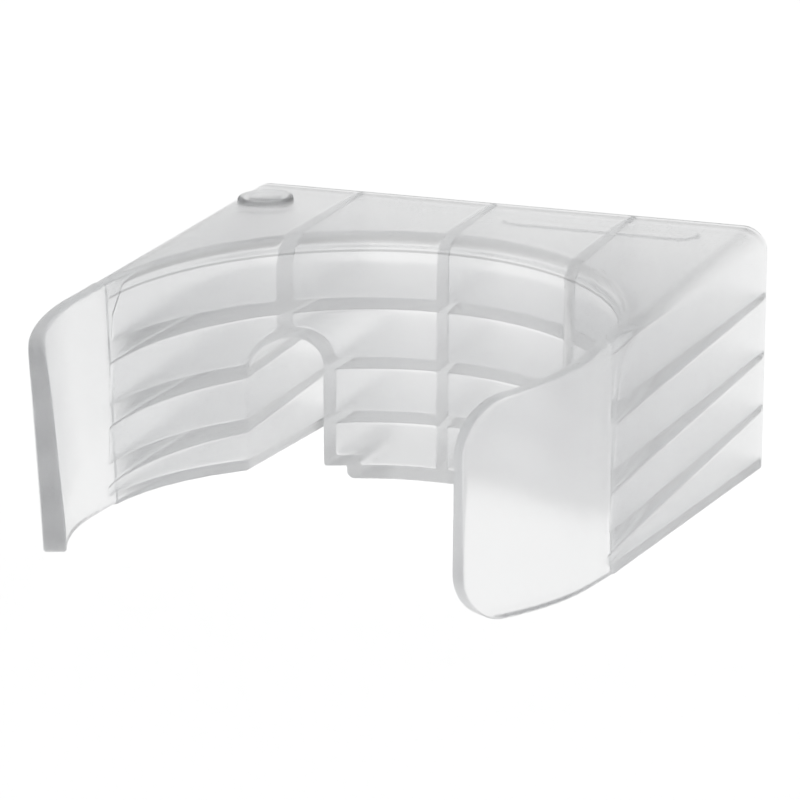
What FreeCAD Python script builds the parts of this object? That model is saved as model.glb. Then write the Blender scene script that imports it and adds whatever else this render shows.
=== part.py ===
import FreeCAD, Part
import os, math

# One-piece moulded clip-on guard: a shallow D-shaped box, open at the rear like
# an egg crate, with a half-round cradle in the front and two springy wings that
# reach round the held form. Units are millimetres. +Z is up, +Y points to the open
# rear, -X is left, and the mouth of the cradle faces -Y. Every member of the
# moulding is its own solid. Members are modelled with the root plane, where the
# wings meet the box, at y = 0; each finished piece is then moved by frame_shift.

doc = FreeCAD.newDocument("blade_guard")
sheet = doc.addObject("Spreadsheet::Sheet", "Sizes")
sheet.Label = "Sizes"

# alias, value, meaning
SIZES = [
    ("frame_shift", -18.85, "y of the root plane, puts the bounding box centre at y=0"),
    ("shell_depth", 83.5, "root plane to open rear"),
    ("shell_height", 53.8, "underside of the centre floor to the top face"),
    ("half_rear", 60.0, "half width at the open rear"),
    ("half_root", 54.6, "half width at the wing roots"),
    ("front_rise", 6.9, "height of the lower edge at the wing roots"),
    ("plate_thick", 2.6, "top and bottom plates"),
    ("wall_thick", 1.6, "side walls and cradle wall"),
    ("edge_front", 0.6, "top side edge rounding at the wing roots"),
    ("edge_rear", 5.0, "top side edge rounding at the rear"),
    ("cradle_radius", 51.9, "inside of the cradle"),
    ("cradle_lean", 2.6, "degrees the cradle axis leans to the rear at the top"),
    ("cradle_mid", 26.0, "height where the cradle axis crosses the root plane"),
    ("rim_base", 49.5, "lower end of the rim"),
    ("rim_crease", 50.9, "height where the rim bevel starts"),
    ("rim_outer", 58.0, "outer radius of the rim"),
    ("rim_back", 1.06, "rearward offset of the rim axis"),
    ("collar_extra", 1.6, "collar radius beyond the outside of the cradle wall"),
    ("bevel_back", 4.5, "rearward offset of the bevel's upper circle"),
    ("bevel_radius", 52.1, "radius of the bevel's upper circle"),
    ("rib_upper", 38.75, "mid height of the upper shelf ribs"),
    ("rib_middle", 25.76, "mid height of the middle shelf ribs"),
    ("rib_lower", 13.8, "mid height of the lower shelf ribs"),
    ("rib_front", 4.1, "shelf rib thickness at the root plane"),
    ("rib_rear", 1.2, "shelf rib thickness at the rear"),
    ("web_left", -33.0, "x of the left upright web"),
    ("web_middle", -1.6, "x of the middle upright web"),
    ("web_right", 30.2, "x of the right upright web"),
    ("web_front", 3.8, "web thickness at the root plane"),
    ("web_rear", 1.4, "web thickness at the rear"),
    ("web_sink", 3.0, "start of the left web below the tunnel's clear height"),
    ("tunnel_x", -32.3, "centre of the cable tunnel"),
    ("tunnel_half", 6.4, "half of the clear width of the tunnel"),
    ("tunnel_top", 32.0, "clear height of the tunnel"),
    ("tunnel_wall", 1.9, "tunnel wall"),
    ("wing_thick", 2.7, "wing sheet at the root"),
    ("wing_tip_thick", 4.2, "wing sheet at the tip"),
    ("wing_straight", 11.7, "straight part of a wing"),
    ("wing_radius", 62.8, "outer radius of the curled part"),
    ("wing_sweep", 33.4, "degrees of curl"),
    ("wing_toe", 2.4, "degrees the straight part points inward"),
    ("wing_corner", 9.5, "corner rounding at the tips"),
    ("wing_slope", 0.13, "rise of the lower wing edge per mm forward"),
    ("boss_x", -48.8, "round boss centre"),
    ("boss_y", 67.4, "round boss centre, measured from the root plane"),
    ("boss_radius", 6.2, "round boss"),
    ("boss_height", 1.5, "round boss"),
    ("groove_outer", 0.78, "groove outer radius as a share of the boss radius"),
    ("groove_inner", 0.55, "groove inner radius as a share of the boss radius"),
    ("groove_floor", 0.55, "groove floor height as a share of the boss height"),
    ("pad_x", 27.0, "blank pad centre"),
    ("pad_y", 71.0, "blank pad centre, measured from the root plane"),
    ("pad_length", 43.0, "blank pad"),
    ("pad_width", 8.0, "blank pad"),
    ("pad_height", 0.6, "blank pad"),
]
for row, (alias, value, meaning) in enumerate(SIZES, start=1):
    sheet.set(f"A{row}", alias)
    sheet.set(f"B{row}", repr(value))
    sheet.set(f"C{row}", meaning)
    sheet.setAlias(f"B{row}", alias)
doc.recompute()


# ---- helpers -------------------------------------------------------------
def size(alias):
    return float(getattr(sheet, alias))


def bind(obj, **expressions):
    """Bind properties: __ in a name stands for a dot, $ in a text for the sheet."""
    for name, text in expressions.items():
        obj.setExpression(name.replace("__", "."), text.replace("$", "Sizes."))
    return obj


def place(x, y, z, axis=(0, 0, 1), degrees=0):
    rotation = FreeCAD.Rotation(FreeCAD.Vector(*axis), degrees)
    return FreeCAD.Placement(FreeCAD.Vector(x, y, z), rotation)


def wedge(name, y_front, y_rear, front, rear=None):
    """Block between two y planes; front and rear are (x0, x1, z0, z1) expressions.
    Without rear, the front section runs straight through."""
    rear = rear or front
    return bind(doc.addObject("Part::Wedge", name), Ymin=y_front, Ymax=y_rear,
                Xmin=front[0], Xmax=front[1], Zmin=front[2], Zmax=front[3],
                X2min=rear[0], X2max=rear[1], Z2min=rear[2], Z2max=rear[3])


def tall_block(name, left, right, y_front, y_rear):
    """Block that reaches past the moulding both up and down."""
    return wedge(name, y_front, y_rear, (left, right, "-9", "90"))


def upright_cylinder(name, radius, y, z, height, x="0"):
    return bind(doc.addObject("Part::Cylinder", name), Radius=radius, Height=height,
                Placement__Base__x=x, Placement__Base__y=y, Placement__Base__z=z)


def fuse(name, base, tool):
    result = doc.addObject("Part::Fuse", name)
    result.Base = base
    result.Tool = tool
    return result


def fuse_all(name, shapes):
    result = doc.addObject("Part::MultiFuse", name)
    result.Shapes = shapes
    return result


def cut(name, base, tools):
    result = doc.addObject("Part::Cut", name)
    result.Base = base
    result.Tool = tools[0] if len(tools) == 1 else fuse_all(name + "_tools", tools)
    return result


def common(name, base, tool):
    result = doc.addObject("Part::Common", name)
    result.Base = base
    result.Tool = tool
    return result


pieces = []


def piece(obj):
    """Move a finished member into the frame; its name is its label and file name."""
    pieces.append(bind(obj, Placement__Base__y="$frame_shift"))
    return obj


# ---- envelopes -----------------------------------------------------------
outer_raw = wedge("outer_raw", "0", "$shell_depth",
                  ("-$half_root", "$half_root", "$front_rise", "$shell_height"),
                  ("-$half_rear", "$half_rear", "0", "$shell_height"))
doc.recompute()


def top_side_edges(shape):
    """Fillet entries for the two top edges that run front to rear."""
    entries = []
    radii = (size("edge_front"), size("edge_rear"))
    for number, edge in enumerate(shape.Edges, start=1):
        start, end = edge.Vertexes[0].Point, edge.Vertexes[1].Point
        on_top = all(abs(point.z - size("shell_height")) < 1e-6 for point in (start, end))
        if on_top and abs(start.y - end.y) > 1:
            entries.append((number, *(radii if start.y < end.y else radii[::-1])))
    return entries


outer = doc.addObject("Part::Fillet", "outer_rounded")
outer.Base = outer_raw
outer.Edges = top_side_edges(outer_raw.Shape)

# The hollow is one millimetre longer at both ends, along the taper of the inside.
taper = "($half_rear - $half_root) / $shell_depth"
hollow = wedge("hollow", "-1", "$shell_depth + 1",
               (f"-$half_root + $wall_thick + {taper}",
                f"$half_root - $wall_thick - {taper}", "-5", "$shell_height + 5"),
               (f"-$half_rear + $wall_thick - {taper}",
                f"$half_rear - $wall_thick + {taper}", "-5", "$shell_height + 5"))
inside = wedge("inside", "0", "$shell_depth",
               ("-$half_root + $wall_thick", "$half_root - $wall_thick",
                "$front_rise + $plate_thick", "$shell_height - $plate_thick"),
               ("-$half_rear + $wall_thick", "$half_rear - $wall_thick",
                "$plate_thick", "$shell_height - $plate_thick"))
# everything above the underside of the top plate
top_layer = wedge("top_layer", "-1", "$shell_depth + 1",
                  ("-80", "80", "$shell_height - $plate_thick", "$shell_height + 5"))


# ---- leaning cradle tools ------------------------------------------------
CRADLE_TOOL_LENGTH = 120


def leaning_cylinder(name, radius):
    """Cylinder leaning to +Y going up; its middle is at y = 0, z = cradle_mid."""
    cylinder = doc.addObject("Part::Cylinder", name)
    cylinder.Height = CRADLE_TOOL_LENGTH
    half = CRADLE_TOOL_LENGTH / 2
    lean = math.radians(size("cradle_lean"))
    cylinder.Placement = place(0, -half * math.sin(lean),
                               size("cradle_mid") - half * math.cos(lean),
                               axis=(1, 0, 0), degrees=-size("cradle_lean"))
    return bind(cylinder, Radius=radius)


cradle_out = leaning_cylinder("cradle_out", "$cradle_radius + $wall_thick")
cradle_in = leaning_cylinder("cradle_in", "$cradle_radius")


# ---- cradle rim: plate and collar, bevelled to a crescent at the inner edge ----
def bevel_circle(name, radius, y, z):
    return bind(doc.addObject("Part::Circle", name), Radius=radius,
                Placement__Base__y=y, Placement__Base__z=z)


rim_collar = upright_cylinder("rim_collar", "$cradle_radius + $wall_thick + $collar_extra",
                              "$rim_back", "$rim_base", "$shell_height - $rim_base")
rim_plate = upright_cylinder("rim_plate", "$rim_outer", "$rim_back",
                             "$shell_height - $plate_thick", "$plate_thick")
rim_blank = fuse("rim_blank", rim_collar, rim_plate)
rim_bore = upright_cylinder("rim_bore", "$cradle_radius", "$rim_back",
                            "$rim_base - 2", "$rim_crease - $rim_base + 2")
bevel = doc.addObject("Part::Loft", "bevel")
bevel.Sections = [
    bevel_circle("bevel_low", "$cradle_radius", "$rim_back", "$rim_crease"),
    # a hair above the top face, so that the two faces do not coincide
    bevel_circle("bevel_high", "$bevel_radius", "$bevel_back", "$shell_height + 0.0001"),
]
bevel.Solid = True
bevel.Ruled = True
rim_zone = common("rim_zone", rim_blank, outer)
rim_bored = cut("rim_bored", rim_zone, [rim_bore])
piece(cut("cradle_rim", rim_bored, [bevel]))

# ---- top plate -----------------------------------------------------------
rim_opening = upright_cylinder("rim_opening", "$rim_outer", "$rim_back",
                               "$shell_height - $plate_thick", "$plate_thick + 5")
top_zone = common("top_zone", outer, top_layer)
piece(cut("top_plate", top_zone, [rim_opening]))


# ---- cable tunnel --------------------------------------------------------
def arch(name, half, crown, y, depth, foot):
    """Upright slot from foot up to a round crown, run along y."""
    legs = bind(doc.addObject("Part::Box", name + "_legs"), Length=f"2 * ({half})",
                Width=depth, Height=f"({crown}) - ({half}) - ({foot})",
                Placement__Base__x=f"$tunnel_x - ({half})",
                Placement__Base__y=y, Placement__Base__z=foot)
    round_top = doc.addObject("Part::Cylinder", name + "_crown")
    round_top.Placement = place(0, 0, 0, axis=(1, 0, 0), degrees=-90)
    bind(round_top, Radius=half, Height=depth, Placement__Base__x="$tunnel_x",
         Placement__Base__y=y, Placement__Base__z=f"({crown}) - ({half})")
    result = fuse(name, legs, round_top)
    result.Refine = True
    return result


tunnel_out = arch("tunnel_out", "$tunnel_half + $tunnel_wall", "$tunnel_top + $tunnel_wall",
                  "0", "$shell_depth", foot="-5")
tunnel_in = arch("tunnel_in", "$tunnel_half", "$tunnel_top",
                 "-2", "$shell_depth + 4", foot="-8")
tunnel_blank = common("tunnel_blank", tunnel_out, outer)
piece(cut("cable_tunnel", tunnel_blank, [tunnel_in, cradle_in]))

# ---- cradle wall ---------------------------------------------------------
# The wall reaches z = 0 in the centre and follows the rising lower edge at the sides.
centre_block = wedge("centre_block", "0", "$shell_depth",
                     ("$tunnel_x", "$web_right", "0", "$rim_base"))
side_block = wedge("side_block", "0", "$shell_depth",
                   ("-$half_root", "$half_root", "$front_rise", "$rim_base"),
                   ("-$half_rear", "$half_rear", "0", "$rim_base"))
cradle_zone = fuse("cradle_zone", centre_block, side_block)
cradle_solid = common("cradle_solid", cradle_out, cradle_zone)
piece(cut("cradle_wall", cradle_solid, [cradle_in, tunnel_out, rim_zone]))

# ---- side walls ----------------------------------------------------------
walls = cut("walls", outer, [hollow, top_layer, cradle_out, rim_zone])
for side, x0, x1 in (("left", "-90", "0"), ("right", "0", "90")):
    half_space = tall_block("half_" + side, x0, x1, "-60", "$shell_depth + 5")
    piece(common("side_wall_" + side, walls, half_space))

# ---- upright webs --------------------------------------------------------
# key, height of the foot, tools that trim the web
webs = {}
for key, foot, tools in (("left", "$tunnel_top - $web_sink", [tunnel_out, cradle_out, rim_zone]),
                         ("middle", "$plate_thick", [cradle_out, rim_zone]),
                         ("right", "0", [cradle_out, rim_zone])):
    x, top = f"$web_{key}", "$shell_height - $plate_thick"
    webs[key] = wedge(f"web_{key}_blank", "0", "$shell_depth",
                      (f"{x} - $web_front / 2", f"{x} + $web_front / 2", foot, top),
                      (f"{x} - $web_rear / 2", f"{x} + $web_rear / 2", foot, top))
    piece(cut("web_" + key, webs[key], tools))

# ---- bottom plates: the side floors slope up to the front, the centre is level ----
floor_left = wedge("floor_left_blank", "0", "$shell_depth",
                   ("-$half_root + $wall_thick", "$tunnel_x",
                    "$front_rise", "$front_rise + $plate_thick"),
                   ("-$half_rear + $wall_thick", "$tunnel_x", "0", "$plate_thick"))
floor_right = wedge("floor_right_blank", "0", "$shell_depth",
                    ("$web_right", "$half_root - $wall_thick",
                     "$front_rise", "$front_rise + $plate_thick"),
                    ("$web_right", "$half_rear - $wall_thick", "0", "$plate_thick"))
floor_centre = wedge("floor_centre_blank", "0", "$shell_depth",
                     ("$tunnel_x", "$web_right", "0", "$plate_thick"))
piece(cut("floor_left", floor_left, [cradle_out, tunnel_out]))
piece(cut("floor_centre", floor_centre, [cradle_out, tunnel_out, webs["right"]]))
piece(cut("floor_right", floor_right, [cradle_out, webs["right"]]))

# ---- shelf ribs: three slabs, each split into the four bays between the webs ----
bays = {
    key: tall_block("bay_" + key, x0, x1, "-1", "$shell_depth + 1")
    for key, x0, x1 in (("outer_left", "-90", "$web_left"),
                        ("inner_left", "$web_left", "$web_middle"),
                        ("inner_right", "$web_middle", "$web_right"),
                        ("outer_right", "$web_right", "90"))
}
for level in ("upper", "middle", "lower"):
    z = f"$rib_{level}"
    slab = wedge("slab_" + level, "0", "$shell_depth",
                 ("-80", "80", f"{z} - $rib_front / 2", f"{z} + $rib_front / 2"),
                 ("-80", "80", f"{z} - $rib_rear / 2", f"{z} + $rib_rear / 2"))
    slab_in = common("slab_in_" + level, slab, inside)
    slab_cut = cut("slab_cut_" + level, slab_in, [cradle_out, tunnel_out, *webs.values()])
    for key, bay in bays.items():
        piece(common(f"rib_{level}_{key}", slab_cut, bay))

# ---- wings: the right one is built, the left one mirrored ------------------
toe = math.radians(size("wing_toe"))
sweep = math.radians(size("wing_sweep"))
tip_angle = toe + sweep

# front end of the straight part, on the outer face
bend_x = size("half_root") - size("wing_straight") * math.sin(toe)
bend_y = -size("wing_straight") * math.cos(toe)
# centre of the outer curl, then the tip on the outer face
curl_x = bend_x - size("wing_radius") * math.cos(toe)
curl_y = bend_y + size("wing_radius") * math.sin(toe)
tip_x = curl_x + size("wing_radius") * math.cos(tip_angle)
tip_y = curl_y - size("wing_radius") * math.sin(tip_angle)

strip = bind(doc.addObject("Part::Box", "wing_strip"), Length="$wing_thick",
             Width="$wing_straight", Height="$shell_height")
strip.Placement = place(bend_x - size("wing_thick") * math.cos(toe),
                        bend_y + size("wing_thick") * math.sin(toe), 0,
                        degrees=-size("wing_toe"))

curl_outer = bind(doc.addObject("Part::Cylinder", "curl_outer"), Radius="$wing_radius",
                  Height="$shell_height", Angle="$wing_sweep")
curl_outer.Placement = place(curl_x, curl_y, 0,
                             degrees=-size("wing_toe") - size("wing_sweep"))

# The inner circle's centre is moved back along the curl, so that the sheet
# thickens towards the tip.
curl_inner = bind(doc.addObject("Part::Cylinder", "curl_inner"), Height="$shell_height",
                  Radius="$wing_radius - ($wing_thick + $wing_tip_thick) / 2")
slip = (size("wing_tip_thick") - size("wing_thick")) / 2 / math.sin(sweep / 2)
mid_angle = toe + sweep / 2
curl_inner.Placement = place(curl_x + slip * math.sin(mid_angle),
                             curl_y + slip * math.cos(mid_angle), 0)

curl = cut("curl", curl_outer, [curl_inner])
wing_sheet = fuse_all("wing_sheet", [strip, curl])
wing_sheet.Refine = True
wing_under = wedge("wing_under", "-60", "2",
                   ("-90", "90", "-9", "$front_rise + $wing_slope * 60"),
                   ("-90", "90", "-9", "$front_rise - $wing_slope * 2"))
wing_behind = tall_block("wing_behind", "-90", "90", "0", "20")

CORNER_REACH = 12         # corner block beyond the tip
CORNER_BLOCK_WIDTH = 40   # across the sheet
CORNER_BLOCK_HEIGHT = 30
CORNER_BITE_LENGTH = 60   # across the sheet


def corner(name, z_tip, slope, side):
    """Block with a round bite that rounds one tip corner; side is 1 for the lower
    corner and -1 for the upper. Local x runs back from the tip along the curl and
    local y across the sheet; slope is the fall of the edge per mm of local x."""
    radius = size("wing_corner")
    at_tip = place(tip_x, tip_y, 0, degrees=90 - math.degrees(tip_angle))
    z_centre = z_tip - slope * radius + side * radius * math.sqrt(1 + slope * slope)
    z_block = z_centre if side < 0 else z_centre - CORNER_BLOCK_HEIGHT
    block = doc.addObject("Part::Box", name + "_block")
    block.Length = radius * (1 - math.sin(math.atan(slope))) + CORNER_REACH
    block.Width = CORNER_BLOCK_WIDTH
    block.Height = CORNER_BLOCK_HEIGHT
    block.Placement = at_tip.multiply(place(-CORNER_REACH, -CORNER_BLOCK_WIDTH / 2, z_block))
    bite = bind(doc.addObject("Part::Cylinder", name + "_bite"), Radius="$wing_corner")
    bite.Height = CORNER_BITE_LENGTH
    bite.Placement = at_tip.multiply(
        place(radius, -CORNER_BITE_LENGTH / 2, z_centre, axis=(1, 0, 0), degrees=-90))
    return cut(name, block, [bite])


top_corner = corner("corner_top", size("shell_height"), slope=0.0, side=-1)
low_corner = corner("corner_low", size("front_rise") - size("wing_slope") * tip_y,
                    slope=size("wing_slope") * math.cos(tip_angle), side=1)
wing = piece(cut("wing_right", wing_sheet, [wing_under, wing_behind, top_corner, low_corner]))

# The mirror image takes over the frame shift of its source.
wing_left = doc.addObject("Part::Mirroring", "wing_left")
wing_left.Source = wing
wing_left.Normal = FreeCAD.Vector(1, 0, 0)
wing_left.Base = FreeCAD.Vector(0, 0, 0)
pieces.append(wing_left)

# ---- round boss with a ring groove, on the top face ------------------------
boss_body = upright_cylinder("boss_body", "$boss_radius", "$boss_y", "$shell_height",
                             "$boss_height", x="$boss_x")
groove_out = upright_cylinder("groove_out", "$boss_radius * $groove_outer", "$boss_y",
                              "$shell_height + $boss_height * $groove_floor",
                              "$boss_height", x="$boss_x")
groove_core = upright_cylinder("groove_core", "$boss_radius * $groove_inner", "$boss_y",
                               "$shell_height", "$boss_height * 3", x="$boss_x")
boss_groove = cut("boss_groove", groove_out, [groove_core])
piece(cut("round_boss", boss_body, [boss_groove]))

# ---- blank pad with round ends, on the top face ----------------------------
pad_box = bind(doc.addObject("Part::Box", "pad_box"), Length="$pad_length - $pad_width",
               Width="$pad_width", Height="$pad_height",
               Placement__Base__x="$pad_x - $pad_length / 2 + $pad_width / 2",
               Placement__Base__y="$pad_y - $pad_width / 2",
               Placement__Base__z="$shell_height")
pad_ends = [
    upright_cylinder("pad_end_" + side, "$pad_width / 2", "$pad_y", "$shell_height",
                     "$pad_height", x=f"$pad_x {sign} ($pad_length / 2 - $pad_width / 2)")
    for side, sign in (("left", "-"), ("right", "+"))
]
pad = fuse_all("blank_pad", [pad_box] + pad_ends)
pad.Refine = True
piece(pad)

doc.recompute()

# ---- checks and export -----------------------------------------------------
bad = [f"{obj.Name} {obj.State}" for obj in doc.Objects
       if "Invalid" in obj.State or "Error" in obj.State]
for obj in pieces:
    shape = obj.Shape
    if shape.isNull() or not shape.isValid() or len(shape.Solids) != 1 or shape.Volume <= 0:
        bad.append(f"{obj.Label} is not one valid solid")
if bad:
    raise RuntimeError("bad features: " + "; ".join(bad))

os.makedirs("parts", exist_ok=True)
for obj in pieces:
    obj.Shape.exportStep(f"parts/{obj.Label}.step")
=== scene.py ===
"""A one-piece moulded clip-on guard in frosted clear plastic.

The skin is written as a signed distance field (negative inside the plastic) and
meshed here. Lengths are in mm in the guard's own frame: x across, y = 0 at the
wing roots, +y to the open rear, +z up. The wings reach forward, to -y. The skin
is parted in front of the wing roots: the box is one piece, and each wing is a
separate piece. Objects are built in metres in the row's frame.
"""

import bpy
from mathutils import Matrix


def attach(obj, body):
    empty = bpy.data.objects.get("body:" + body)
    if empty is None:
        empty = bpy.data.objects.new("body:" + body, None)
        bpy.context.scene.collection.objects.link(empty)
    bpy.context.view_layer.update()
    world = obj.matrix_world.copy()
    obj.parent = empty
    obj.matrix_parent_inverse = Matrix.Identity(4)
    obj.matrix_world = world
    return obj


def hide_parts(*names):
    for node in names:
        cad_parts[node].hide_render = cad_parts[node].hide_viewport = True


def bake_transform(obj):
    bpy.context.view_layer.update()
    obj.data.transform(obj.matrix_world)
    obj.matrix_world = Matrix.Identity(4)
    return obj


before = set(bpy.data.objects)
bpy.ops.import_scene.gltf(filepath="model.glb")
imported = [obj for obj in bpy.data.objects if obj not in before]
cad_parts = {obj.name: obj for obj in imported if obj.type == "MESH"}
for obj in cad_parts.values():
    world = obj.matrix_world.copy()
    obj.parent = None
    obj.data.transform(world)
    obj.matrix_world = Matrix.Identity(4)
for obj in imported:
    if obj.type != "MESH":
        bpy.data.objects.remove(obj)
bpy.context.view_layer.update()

import math
from itertools import product

import bpy
import numpy as np
from mathutils import Matrix

# ---- dimensions, mm ----------------------------------------------------------
ROW_SHIFT_Y = -18.85            # from the guard's frame to the row's frame
PART_Y = -5.0                   # plane that parts the box from the wings
CELL = 0.45
GRID_LOW, GRID_HIGH = (-60.9, -47.1, -0.9), (60.95, 84.3, 55.2)

HEIGHT, DEPTH = 53.8, 83.5
HALF_WIDTH = 54.6               # at the wing roots
WIDENING = 0.0647               # of each side, per mm towards the rear
BOTTOM_SLOPE = 0.081            # the bottom drops towards the rear
BOTTOM_SCALE = 0.9967           # turns height above that slope into distance
LOW_BODY_X = (-21.4, 31.0)      # flat-bottomed part that reaches down to z = 0
LOW_POCKET_X, LOW_POCKET_Z = (-19.4, 29.2), 2.8

TOP_PLATE, BOTTOM_PLATE = 1.9, 2.2
CRADLE_RADIUS, CRADLE_WALL = 51.9, 1.05
CRADLE_LEAN = math.tan(math.radians(2.6))
CRADLE_MID_Z = 26
RIM_FOOT_Z, RIM_FOOT_Y = 50.9, 1.06     # where the rim bevel starts
RIM_SHIFT, RIM_GROWTH = 3.44, 0.2       # axis shift and radius gain up to the top
RIM_SLOPE, RIM_WALL = 1.186, 1.25
RIB_HEIGHTS = (38.75, 25.76, 13.8)
WEB_PLACES = (-33.0, -1.6, 30.2)        # along x
TUNNEL_X, TUNNEL_RADIUS, TUNNEL_TOP = -32.3, 6.4, 32.0

PAD_X, PAD_Y = 27.0, 71.0
PAD_HALF_STRAIGHT, PAD_RADIUS, PAD_RISE = 17.5, 4.0, 0.36

WING_TOE = math.radians(2.4)
WING_STRAIGHT, WING_LENGTH = 11.7, 48.26    # along the sheet, from the root
WING_CURL_RADIUS = 62.8
WING_MID_Z = 27                 # height at which the wing neither leans nor thickens
WING_LEAN, LEAN_RUN = 0.0128, 18            # full lean is reached over this run
WING_THICK, TIP_THICKENING = 2.7, 1.47
LOW_THICKENING, THICKENING_RUN = 0.030, 30  # per mm of height; run as above
WING_LOW_Z, WING_LOW_SLOPE, WING_LOW_SCALE = 7.0, 0.13, 0.992


# ---- signed distance field ---------------------------------------------------
def intersect(a, b, radius):
    """Intersection with a rounded edge."""
    outside = np.hypot(np.maximum(a + radius, 0), np.maximum(b + radius, 0))
    return np.minimum(np.maximum(a, b), -radius) + outside


def cut(a, b, radius):
    return intersect(a, -b, radius)


def smooth(u):
    u = np.clip(u, 0, 1)
    return u * u * (3 - 2 * u)


def arch(x, z, centre_z, radius):
    """Upright slot, open downwards, with a round top."""
    return np.where(z > centre_z, np.hypot(x, z - centre_z), np.abs(x)) - radius


def box_taper(y):
    """Fraction of the depth, half width and bottom height at y."""
    rear = np.clip(y / DEPTH, 0, 1)
    return rear, HALF_WIDTH + WIDENING * y, BOTTOM_SLOPE * (DEPTH - y)


def wing_field(side, y, z):
    """Curled wing: a sheet that thickens to the tip and to the lower edge."""
    along_x, along_y = -math.sin(WING_TOE), -math.cos(WING_TOE)
    out_x, out_y = math.cos(WING_TOE), -math.sin(WING_TOE)
    run_flat = (side - HALF_WIDTH) * along_x + y * along_y
    out_flat = (side - HALF_WIDTH) * out_x + y * out_y
    curl_x = HALF_WIDTH + WING_STRAIGHT * along_x - WING_CURL_RADIUS * out_x
    curl_y = WING_STRAIGHT * along_y - WING_CURL_RADIUS * out_y
    from_x, from_y = side - curl_x, y - curl_y
    angle = np.arctan2(-from_y, from_x) - WING_TOE
    curled = run_flat > WING_STRAIGHT
    run = np.where(curled, WING_STRAIGHT + WING_CURL_RADIUS * angle, run_flat)
    offset = np.where(curled, np.hypot(from_x, from_y) - WING_CURL_RADIUS, out_flat)

    rise = z - WING_MID_Z
    outer = offset - WING_LEAN * rise * smooth(run / LEAN_RUN)
    thick = (WING_THICK + TIP_THICKENING * np.clip(run / WING_LENGTH, 0, 1)
             - LOW_THICKENING * rise * smooth(run / THICKENING_RUN))
    outline = intersect(run - WING_LENGTH, z - HEIGHT, radius=10.0)
    low_edge = (WING_LOW_Z + WING_LOW_SLOPE * (-y) - z) * WING_LOW_SCALE
    outline = intersect(outline, low_edge, radius=9.0)
    sheet = intersect(outline, outer, radius=0.55)
    return intersect(sheet, -outer - thick, radius=0.75)


def cradle_field(side, y, z):
    """Opening with a round rear and straight sides, on an axis that leans back."""
    centre_y = CRADLE_LEAN * (z - CRADLE_MID_Z)
    return np.where(y > centre_y, np.hypot(side, y - centre_y) - CRADLE_RADIUS,
                    side - CRADLE_RADIUS)


def bevel_field(side, y, z):
    """Distance outwards from the sloped rim round the top of the cradle."""
    up = (z - RIM_FOOT_Z) / (HEIGHT - RIM_FOOT_Z)
    centre_y = RIM_FOOT_Y + RIM_SHIFT * up
    radius = CRADLE_RADIUS + RIM_GROWTH * up
    reach = np.hypot(side, y - centre_y)
    slope = RIM_SLOPE * np.maximum(y - centre_y, 0) / np.maximum(reach, 1)
    return np.where(y > centre_y, (reach - radius) / np.sqrt(1 + slope * slope), side - radius)


def pocket_field(x, y, z):
    """The pockets behind the cradle wall: negative in the air, zero on their faces."""
    side = np.abs(x)
    rear, half_width, bottom_z = box_taper(y)
    side_wall = 0.95 + 0.45 * rear
    pocket = intersect(side - (half_width - side_wall), z - (HEIGHT - TOP_PLATE),
                       radius=0.6 + 2.6 * rear)
    low_x = np.maximum(LOW_POCKET_X[0] - x, x - LOW_POCKET_X[1])
    floor_field = np.minimum(bottom_z + BOTTOM_PLATE - z, np.maximum(low_x, LOW_POCKET_Z - z))
    pocket = intersect(pocket, floor_field, radius=0.6)
    pocket = intersect(pocket, CRADLE_WALL - cradle_field(side, y, z), radius=0.5)
    front_y = -0.5 + 0.17 * (z - 25)
    pocket = intersect(pocket, front_y - y, radius=0.4)
    # the wall follows the rim bevel, and meets the top plate in a soft fillet
    pocket = intersect(pocket, RIM_WALL - bevel_field(side, y, z), radius=2.2)

    # level ribs and upright webs, both thinner towards the rear
    rib = 1.2 + 0.034 * (DEPTH - y)
    for rib_z in RIB_HEIGHTS:
        pocket = cut(pocket, np.abs(z - rib_z) - rib / 2, radius=0.45)
    web = 1.3 + 0.030 * (DEPTH - y)
    for web_x in WEB_PLACES:
        pocket = cut(pocket, np.abs(x - web_x) - web / 2, radius=0.45)

    # outside of the tunnel wall, tapering to the rear
    outer_radius = 8.2 - 0.7 * rear
    centre_z = 34.6 - 0.9 * rear - outer_radius
    tunnel = arch(x + 31.6 + 0.5 * rear, z, centre_z, outer_radius)
    return cut(pocket, tunnel, radius=0.45)


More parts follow.
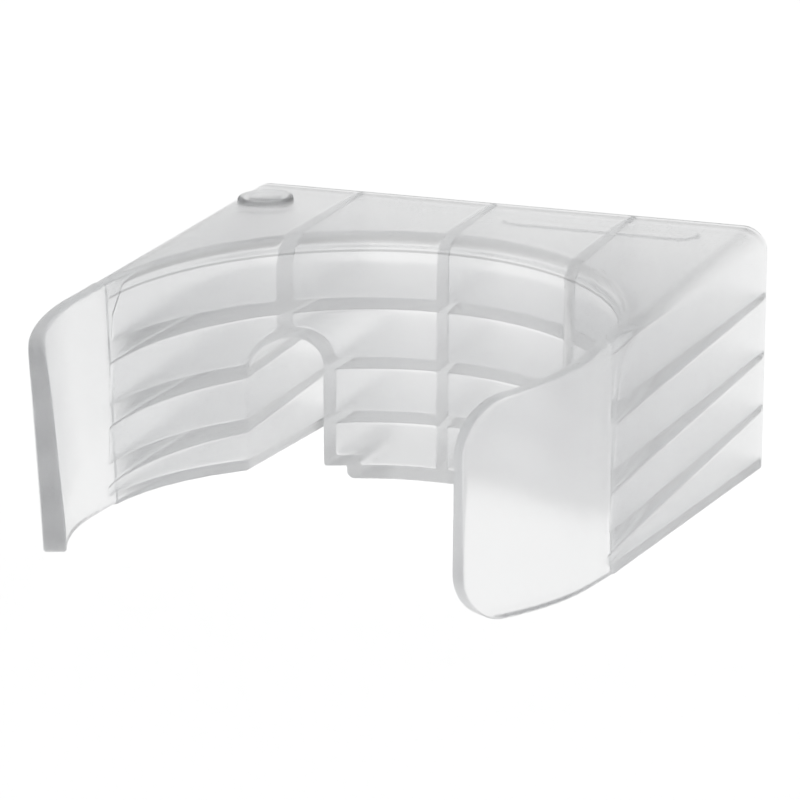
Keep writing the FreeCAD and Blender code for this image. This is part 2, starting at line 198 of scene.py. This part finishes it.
def field(x, y, z):
    """The whole moulding."""
    x, y, z = np.broadcast_arrays(x, y, z)
    side = np.abs(x)
    rear, half_width, bottom_z = box_taper(y)

    # outside of the box
    body = intersect(side - half_width, z - HEIGHT, radius=1.0 + 4.4 * rear)
    low_x = np.maximum(LOW_BODY_X[0] - x, x - LOW_BODY_X[1])
    low_middle = intersect(low_x, -z, radius=1.7)
    bottom = np.minimum((bottom_z - z) * BOTTOM_SCALE, low_middle)
    body = intersect(body, bottom, radius=0.55)
    body = intersect(body, y - DEPTH, radius=0.7)
    body = np.maximum(body, -y)
    wing = np.maximum(wing_field(side, y, z), y)
    solid = np.minimum(body, wing)
    solid = cut(solid, pocket_field(x, y, z), radius=0.4)

    # the cradle opening with its rim bevel, and the arched tunnel through to the rear
    opening = np.minimum(cradle_field(side, y, z), bevel_field(side, y, z))
    solid = np.where(y > -1.0, cut(solid, opening, radius=0.35), solid)
    tunnel = arch(x - TUNNEL_X, z, TUNNEL_TOP - TUNNEL_RADIUS, TUNNEL_RADIUS)
    solid = np.where(y > 5.0, cut(solid, tunnel, radius=0.6), solid)

    # a blank raised pad with round ends on the top face
    pad = np.hypot(np.maximum(np.abs(x - PAD_X) - PAD_HALF_STRAIGHT, 0), y - PAD_Y) - PAD_RADIUS
    pad = intersect(pad, z - (HEIGHT + PAD_RISE), radius=0.25)
    padded = np.minimum(solid, np.maximum(pad, HEIGHT - 0.4 - z))
    return np.where(z > HEIGHT - 0.5, padded, solid).astype(np.float32)


# ---- surface extraction --------------------------------------------------------
def sample_grid(low, count, slab=16):
    """Field values on the grid, worked out slab by slab along x to save memory."""
    grid_x, grid_y, grid_z = ((low[k] + CELL * np.arange(count[k])).astype(np.float32)
                              for k in range(3))
    values = np.empty(count, np.float32)
    for i in range(0, count[0], slab):
        values[i:i + slab] = field(grid_x[i:i + slab, None, None], grid_y[None, :, None],
                                   grid_z[None, None, :])
    return values


def cell_points(values, cells):
    """Mean of the edge crossings of each cell, in cells from the grid's low corner."""
    corner = {}
    for a, b, c in product((0, 1), repeat=3):
        at_corner = values[cells[:, 0] + a, cells[:, 1] + b, cells[:, 2] + c]
        corner[a, b, c] = at_corner.astype(np.float64)
    total = np.zeros((len(cells), 3))
    hits = np.zeros(len(cells))
    for axis, p, q in product(range(3), (0, 1), (0, 1)):
        start = [p, q]
        start.insert(axis, 0)
        end = list(start)
        end[axis] = 1
        v0, v1 = corner[tuple(start)], corner[tuple(end)]
        hit = (v0 < 0) != (v1 < 0)
        point = np.repeat(np.array(start, float)[None], len(cells), 0)
        point[:, axis] = np.where(hit, v0 / np.where(hit, v0 - v1, 1), 0)
        total += point * hit[:, None]
        hits += hit
    return cells + total / hits[:, None]


def extract(low, high):
    """Naive surface nets on a regular grid: vertices and outward-facing quads."""
    count = [int(math.ceil((high[k] - low[k]) / CELL)) + 1 for k in range(3)]
    values = sample_grid(low, count)
    inside = values < 0
    corners_in = np.zeros([k - 1 for k in count], np.uint8)
    for a, b, c in product((0, 1), repeat=3):
        corners_in += inside[a:count[0] - 1 + a, b:count[1] - 1 + b, c:count[2] - 1 + c]
    cells = np.argwhere((corners_in > 0) & (corners_in < 8))
    index = np.full(corners_in.shape, -1, np.int32)
    index[cells[:, 0], cells[:, 1], cells[:, 2]] = np.arange(len(cells))
    points = cell_points(values, cells) * CELL + np.array(low)

    # each grid edge that crosses the surface joins the four cells round it
    all_quads = []
    for axis in range(3):
        u, v = (k for k in range(3) if k != axis)
        first, second = np.delete(inside, -1, axis), np.delete(inside, 0, axis)
        edges = np.argwhere(first != second)
        within = ((edges[:, u] > 0) & (edges[:, v] > 0)
                  & (edges[:, u] < count[u] - 1) & (edges[:, v] < count[v] - 1))
        edges = edges[within]
        ring = []
        for back_u, back_v in ((1, 1), (0, 1), (0, 0), (1, 0)):
            cell = edges.copy()
            cell[:, u] -= back_u
            cell[:, v] -= back_v
            ring.append(index[cell[:, 0], cell[:, 1], cell[:, 2]])
        ring = np.stack(ring, 1)
        reverse = first[edges[:, 0], edges[:, 1], edges[:, 2]] == (axis == 1)
        ring[reverse] = ring[reverse][:, ::-1]
        all_quads.append(ring)
    return points, np.concatenate(all_quads)


def gradient(points, reach=0.03):
    slopes = np.empty_like(points)
    for k in range(3):
        step = np.zeros(3)
        step[k] = reach
        ahead = field(*(points[:, i] + step[i] for i in range(3)))
        behind = field(*(points[:, i] - step[i] for i in range(3)))
        slopes[:, k] = (ahead - behind) / (2 * reach)
    return slopes


def settle(points, steps=3, least_slope=0.2, longest_move=0.5 * CELL):
    """Newton steps onto the exact surface. least_slope is a squared gradient."""
    for _ in range(steps):
        value = field(points[:, 0], points[:, 1], points[:, 2]).astype(np.float64)
        slopes = gradient(points)
        squared = np.sum(slopes * slopes, 1)
        move = -(value / np.maximum(squared, least_slope))[:, None] * slopes
        length = np.linalg.norm(move, axis=1)
        move *= np.minimum(1, longest_move / np.maximum(length, 1e-9))[:, None]
        points = points + move
    return points


# ---- meshes ----------------------------------------------------------------------
def to_row(points):
    """Guard's frame in mm to the row's frame in metres."""
    moved = np.array(points, np.float64)
    moved[..., 1] += ROW_SHIFT_Y
    return moved / 1000.0


def link_object(name, mesh, smooth_faces):
    mesh.polygons.foreach_set("use_smooth", smooth_faces)
    mesh.update()
    ob = bpy.data.objects.new(name, mesh)
    bpy.context.scene.collection.objects.link(ob)
    return ob


def open_rims(quads, shortest=20):
    """Ordered vertex loops that close the open rims of the quads, facing outwards."""
    start = quads.ravel().astype(np.int64)
    end = np.roll(quads, -1, axis=1).ravel().astype(np.int64)
    base = int(quads.max()) + 1
    lone = ~np.isin(start * base + end, end * base + start)
    follow = dict(zip(end[lone].tolist(), start[lone].tolist()))
    rims = []
    while follow:
        first = next(iter(follow))
        rim, current = [first], follow.pop(first)
        while current != first and current in follow:
            rim.append(current)
            current = follow.pop(current)
        if current == first and len(rim) > shortest:
            rims.append(np.array(rim))
    return rims


def skin_object(name, points, quads):
    """Smooth quads, closed by flat caps with sharp rims in the second material."""
    caps = open_rims(quads)
    loops = np.concatenate([quads.ravel()] + caps).astype(np.int32)
    sizes = np.array([4] * len(quads) + [len(cap) for cap in caps])
    mesh = bpy.data.meshes.new(name)
    mesh.vertices.add(len(points))
    mesh.vertices.foreach_set("co", np.ascontiguousarray(to_row(points), np.float32).ravel())
    mesh.loops.add(len(loops))
    mesh.loops.foreach_set("vertex_index", loops)
    mesh.polygons.add(len(sizes))
    mesh.polygons.foreach_set("loop_start", (np.cumsum(sizes) - sizes).astype(np.int32))
    mesh.update(calc_edges=True)

    is_cap = np.arange(len(sizes)) >= len(quads)
    mesh.polygons.foreach_set("material_index", is_cap.astype(np.int32))
    ends = np.empty(len(mesh.edges) * 2, np.int32)
    mesh.edges.foreach_get("vertices", ends)
    ends = np.sort(ends.reshape(-1, 2).astype(np.int64), axis=1)
    base = len(points)
    rim_keys = [np.minimum(cap, np.roll(cap, -1)) * base + np.maximum(cap, np.roll(cap, -1))
                for cap in caps]
    sharp = mesh.attributes.new("sharp_edge", "BOOLEAN", "EDGE")
    on_rim = np.isin(ends[:, 0] * base + ends[:, 1], np.concatenate(rim_keys))
    sharp.data.foreach_set("value", on_rim)
    ob = link_object(name, mesh, ~is_cap)

    # 1 on the pocket faces, fading to 0 over half a millimetre
    pocket = 1 - smooth(np.abs(pocket_field(points[:, 0], points[:, 1], points[:, 2])) / 0.5)
    attribute = mesh.attributes.new("pocket", "FLOAT", "POINT")
    attribute.data.foreach_set("value", pocket.astype(np.float32))
    return ob


def build_moulding():
    """The skin, parted on the plane in front of the wing roots."""
    points, quads = extract(GRID_LOW, GRID_HIGH)
    points = settle(points)
    middle_y = points[quads][:, :, 1].mean(1)
    middle_x = points[quads][:, :, 0].mean(1)
    in_box = middle_y >= PART_Y
    seam = np.intersect1d(quads[in_box], quads[~in_box])
    points[seam, 1] = PART_Y

    parts = {
        "moulded_box": in_box,
        "moulded_wing_left": ~in_box & (middle_x < 0),
        "moulded_wing_right": ~in_box & (middle_x > 0),
    }
    objects = {}
    for name, mask in parts.items():
        used = np.zeros(len(points), bool)
        used[quads[mask].ravel()] = True
        renumber = np.cumsum(used) - 1
        part_quads = renumber[quads[mask]].astype(np.int32)
        objects[name] = skin_object(name, points[used], part_quads)
    return objects


def lathe(name, profile, centre_x, centre_y, segments=120):
    """Closed solid of revolution. profile: (radius, z), bottom centre to top centre."""
    points, faces, rings = [], [], []
    for radius, z in profile:
        angles = 2 * math.pi * np.arange(segments) / segments
        if radius < 1e-6:
            angles = angles[:1]
        rings.append(range(len(points), len(points) + len(angles)))
        points += [(centre_x + radius * math.cos(angle), centre_y + radius * math.sin(angle), z)
                   for angle in angles]
    for low, high in zip(rings[:-1], rings[1:]):
        for i in range(segments):
            j = (i + 1) % segments
            if len(low) == 1:
                faces.append([low[0], high[j], high[i]])
            elif len(high) == 1:
                faces.append([low[i], low[j], high[0]])
            else:
                faces.append([low[i], low[j], high[j], high[i]])
    mesh = bpy.data.meshes.new(name)
    mesh.from_pydata([tuple(p) for p in to_row(points)], [], faces)
    return link_object(name, mesh, np.ones(len(mesh.polygons), bool))


def arc(radius, z, bend, start, end, count):
    """Profile points on an arc about (radius, z), between two angles in degrees."""
    return [(radius + bend * math.cos(math.radians(angle)), z + bend * math.sin(math.radians(angle)))
            for angle in np.linspace(start, end, count)]


def build_emblem():
    """Raised round emblem on the top face: a rim, a groove and a low dome."""
    profile = [(0, HEIGHT - 0.12), (6.2, HEIGHT - 0.12), (6.2, HEIGHT + 0.7)]
    profile += arc(5.6, HEIGHT + 0.75, bend=0.6, start=0, end=90, count=7)
    profile += arc(4.95, HEIGHT + 0.95, bend=0.4, start=90, end=180, count=5)
    profile += [(4.5, HEIGHT + 0.62), (3.7, HEIGHT + 0.62)]
    profile += arc(3.0, HEIGHT + 0.8, bend=0.55, start=0, end=60, count=5)
    profile += [(radius, HEIGHT + 1.28 + 0.2 * (1 - (radius / 3.0) ** 2))
                for radius in (2.9, 2.4, 1.8, 1.2, 0.6, 0)]
    return lathe("round_emblem", profile, centre_x=-48.8, centre_y=67.4)


# ---- materials -------------------------------------------------------------------
class Graph:
    """Short-hand for building the node tree of a material or world."""

    def __init__(self, owner):
        owner.use_nodes = True
        self.tree = owner.node_tree
        self.tree.nodes.clear()

    def add(self, kind, inputs=None, output=0, **settings):
        """Add a node, set or link its inputs, and return one of its outputs."""
        node = self.tree.nodes.new("ShaderNode" + kind)
        for key, value in settings.items():
            setattr(node, key, value)
        for key, value in (inputs or {}).items():
            if isinstance(value, bpy.types.NodeSocket):
                self.tree.links.new(value, node.inputs[key])
            else:
                node.inputs[key].default_value = value
        return node.outputs[output]

    def math(self, operation, *values):
        return self.add("Math", dict(enumerate(values)), operation=operation)

    def remap(self, value, source=(0, 1), target=(0, 1), **settings):
        return self.add("MapRange", {
            "Value": value, "From Min": source[0], "From Max": source[1],
            "To Min": target[0], "To Max": target[1]}, **settings)

    def mix(self, factor, first, second):
        return self.add("MixShader", {0: factor, 1: first, 2: second})

    def finish(self, surface, kind="OutputMaterial"):
        output = self.tree.nodes.new("ShaderNode" + kind)
        self.tree.links.new(surface, output.inputs["Surface"])


IOR = 1.46
ABSORPTION = 4.0                # per metre of plastic
LONGEST_PATH = 0.09             # metres of plastic that still darken the light
MILK_COLOUR = (0.97, 0.973, 0.976, 1)
# painted crease shade: a dark line painted round the cradle rim, metres
LINE_Z, LINE_OUTER, LINE_INNER = 0.0504, 0.00036, 0.00014   # height, half widths of fade
LINE_REACH, CREASE_SHADE_DARKNESS = 0.0527, 0.28


def painted_crease_shade(graph, position):
    """Painted shade: a fine dark line painted on the cradle wall at the foot of the rim bevel,
    standing in for the shade of that crease.
    """
    axes = graph.add("SeparateXYZ", {"Vector": position}).node.outputs
    x, y, z = axes["X"], axes["Y"], axes["Z"]
    off = graph.math("ABSOLUTE", graph.math("SUBTRACT", z, LINE_Z))
    line = graph.remap(off, source=(LINE_OUTER, LINE_INNER), interpolation_type="SMOOTHSTEP")
    back = graph.math("ADD", y, -(RIM_FOOT_Y + ROW_SHIFT_Y) / 1000)
    squared = graph.math("ADD", graph.math("MULTIPLY", x, x), graph.math("MULTIPLY", back, back))
    on_wall = graph.math("MULTIPLY", graph.math("LESS_THAN", squared, LINE_REACH ** 2),
                         graph.math("GREATER_THAN", back, 0.0))
    return graph.math("MULTIPLY", graph.math("MULTIPLY", line, on_wall), CREASE_SHADE_DARKNESS)


def frosted(name, tint, roughness, grain, grain_depth, veil, coarser):
    """Translucent moulded plastic: rough refraction, darker the further light runs
    inside the wall, with a milky veil, a fine eroded-mould grain and a painted
    crease shade at the foot of the rim bevel."""
    material = bpy.data.materials.new(name)
    graph = Graph(material)
    position = graph.add("TexCoord", output="Object")
    fine = graph.add("TexNoise", {"Vector": position, "Scale": grain, "Detail": 2.0,
                                  "Roughness": 0.55})
    broad = graph.add("TexNoise", {"Vector": position, "Scale": 38.0, "Detail": 4.0})

    # the pocket faces come off the mould coarser than the outside
    pocket = graph.add("Attribute", output="Fac", attribute_name="pocket")
    rough = graph.math("ADD", graph.remap(broad, source=(0.3, 0.7), target=roughness),
                       graph.math("MULTIPLY", pocket, coarser))

    # light path inside the plastic: only a hit from inside counts
    run = graph.math("MULTIPLY", graph.add("LightPath", output="Ray Length"),
                     graph.add("NewGeometry", output="Backfacing"))
    run = graph.math("MINIMUM", run, LONGEST_PATH)
    kept = graph.math("EXPONENT", graph.math("MULTIPLY", run, -ABSORPTION))
    mottle = graph.remap(broad, source=(0.3, 0.7), target=(0.985, 1.0))
    kept = graph.math("MULTIPLY", kept, mottle)
    # painted shade: the dark crease line at the foot of the rim bevel darkens the colour
    kept = graph.math("MULTIPLY", kept, graph.math("SUBTRACT", 1.0, painted_crease_shade(graph, position)))
    colour = graph.add("Mix", {"Factor": 1.0, "A": (*tint, 1), "B": kept},
                       output="Result", data_type="RGBA", blend_type="MULTIPLY")
    bump = graph.add("Bump", {"Strength": 0.1, "Distance": grain_depth, "Height": fine})
    glass = graph.add("BsdfGlass", {"Color": colour, "Roughness": rough, "IOR": IOR,
                                    "Normal": bump}, distribution="MULTI_GGX")

    # milkiness: part of the light is scattered forwards and part back
    haze = graph.add("BsdfTranslucent", {"Color": MILK_COLOUR})
    milk = graph.add("BsdfDiffuse", {"Color": MILK_COLOUR})
    graph.finish(graph.mix(veil, glass, graph.mix(0.5, haze, milk)))
    return material


def inside_plastic():
    """Parting faces lie inside the plastic, so light passes straight through them."""
    material = bpy.data.materials.new("inside_plastic")
    graph = Graph(material)
    shade = graph.remap(graph.add("TexNoise", {"Scale": 40.0}), target=(0.997, 1.0))
    graph.finish(graph.add("BsdfTransparent", {"Color": shade}))
    return material


def pale_floor():
    """Diffuse and faintly glowing to the camera, plain glow to every other ray."""
    material = bpy.data.materials.new("pale_floor")
    graph = Graph(material)
    diffuse = graph.add("BsdfDiffuse", {"Color": (0.82, 0.82, 0.82, 1)})
    lift = graph.add("Emission", {"Color": (1, 1, 1, 1), "Strength": 0.72})
    seen = graph.add("AddShader", {0: diffuse, 1: lift})
    glow = graph.add("Emission", {"Strength": 0.93})
    graph.finish(graph.mix(graph.add("LightPath", output="Is Camera Ray"), glow, seen))
    return material


# ---- pieces ----------------------------------------------------------------------
pieces = build_moulding()
pieces["round_emblem"] = build_emblem()

frost = frosted("frosted_clear", tint=(0.998, 0.999, 1.0), roughness=(0.17, 0.20),
                grain=2600.0, grain_depth=0.00002, veil=0.0, coarser=0.16)
gloss = frosted("clear_gloss", tint=(0.997, 0.998, 0.999), roughness=(0.06, 0.12),
                grain=900.0, grain_depth=0.00001, veil=0.06, coarser=0.0)
parting = inside_plastic()
for name, ob in pieces.items():
    for material in ([gloss] if name == "round_emblem" else [frost, parting]):
        ob.data.materials.append(material)

# the box rides on the shell; the wings keep the place they were built in
box = pieces["moulded_box"]
shell_nodes = [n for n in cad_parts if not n.startswith("wing_") and n != "round_boss"]
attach(box, "shell")
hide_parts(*shell_nodes)
for side, sign in (("left", -1), ("right", 1)):
    wing = pieces["moulded_wing_" + side]
    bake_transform(wing)
    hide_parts("wing_" + side)
emblem = pieces["round_emblem"]
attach(emblem, "shell")
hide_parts("round_boss")


# ---- floor, light, camera ----------------------------------------------------------
def add_floor():
    bpy.ops.mesh.primitive_plane_add(size=6.0, location=(0, 0, -0.0002))
    floor = bpy.context.object
    floor.name = "floor"
    floor.data.materials.append(pale_floor())


# strength of the light tent from above, then from each side: axis, half sign, strength
TENT_TOP = 0.35
TENT_SIDES = (("Y", 0.5, 1.10), ("Y", -0.5, 0.12), ("X", 0.5, 0.0), ("X", -0.5, 0.0))


def light_tent():
    """White to the camera; the light is brightest from behind the guard."""
    world = bpy.data.worlds.new("studio")
    bpy.context.scene.world = world
    graph = Graph(world)
    direction = graph.add("TexCoord", output="Generated")
    axes = graph.add("SeparateXYZ", {"Vector": direction}).node.outputs
    flat = graph.math("SUBTRACT", 1.0, axes["Z"])
    light = graph.math("MULTIPLY", axes["Z"], TENT_TOP)
    for axis, half_sign, strength in TENT_SIDES:
        part = graph.math("ADD", 0.5, graph.math("MULTIPLY", axes[axis], half_sign))
        part = graph.math("MULTIPLY", graph.math("MULTIPLY", part, flat), strength)
        light = graph.math("ADD", light, part)
    tent = graph.add("Background", {"Strength": light})
    white = graph.add("Background", {"Color": (1, 1, 1, 1), "Strength": 1.0})
    camera_ray = graph.add("LightPath", output="Is Camera Ray")
    graph.finish(graph.mix(camera_ray, tent, white), kind="OutputWorld")


def add_camera(place, azimuth, elevation, roll, lens, shift):
    """place is in the guard's frame, angles in degrees, lens in mm."""
    azimuth, elevation, roll = (math.radians(v) for v in (azimuth, elevation, roll))
    back = np.array([math.sin(azimuth) * math.cos(elevation),
                     -math.cos(azimuth) * math.cos(elevation), math.sin(elevation)])
    right = np.array([math.cos(azimuth), math.sin(azimuth), 0.0])
    up = np.cross(back, right)
    c, s = math.cos(roll), math.sin(roll)
    right, up = c * right + s * up, -s * right + c * up
    data = bpy.data.cameras.new("camera")
    camera = bpy.data.objects.new("camera", data)
    bpy.context.scene.collection.objects.link(camera)
    rows = zip(right, up, back, to_row(place))
    camera.matrix_world = Matrix([*rows, (0, 0, 0, 1)])
    data.sensor_width = 36.0
    data.sensor_fit = "HORIZONTAL"
    data.lens = lens
    data.shift_x, data.shift_y = shift
    data.clip_start = 0.01
    data.clip_end = 20
    bpy.context.scene.camera = camera


add_floor()
light_tent()
add_camera(place=(208.005, -460.159, 208.103), azimuth=23.565, elevation=18.792, roll=-1.187,
           lens=124.24131, shift=(0.02315125, -0.006315))

scene = bpy.context.scene
scene.view_settings.view_transform = "Standard"
scene.view_settings.look = "None"
cycles = scene.cycles
cycles.max_bounces = 96
cycles.transmission_bounces = 96
cycles.glossy_bounces = 96
cycles.diffuse_bounces = 8
cycles.transparent_max_bounces = 16
cycles.blur_glossy = 0.0
cycles.caustics_refractive = True
cycles.caustics_reflective = True
cycles.sample_clamp_indirect = 4.0
cycles.use_denoising = True
cycles.denoising_input_passes = "RGB"
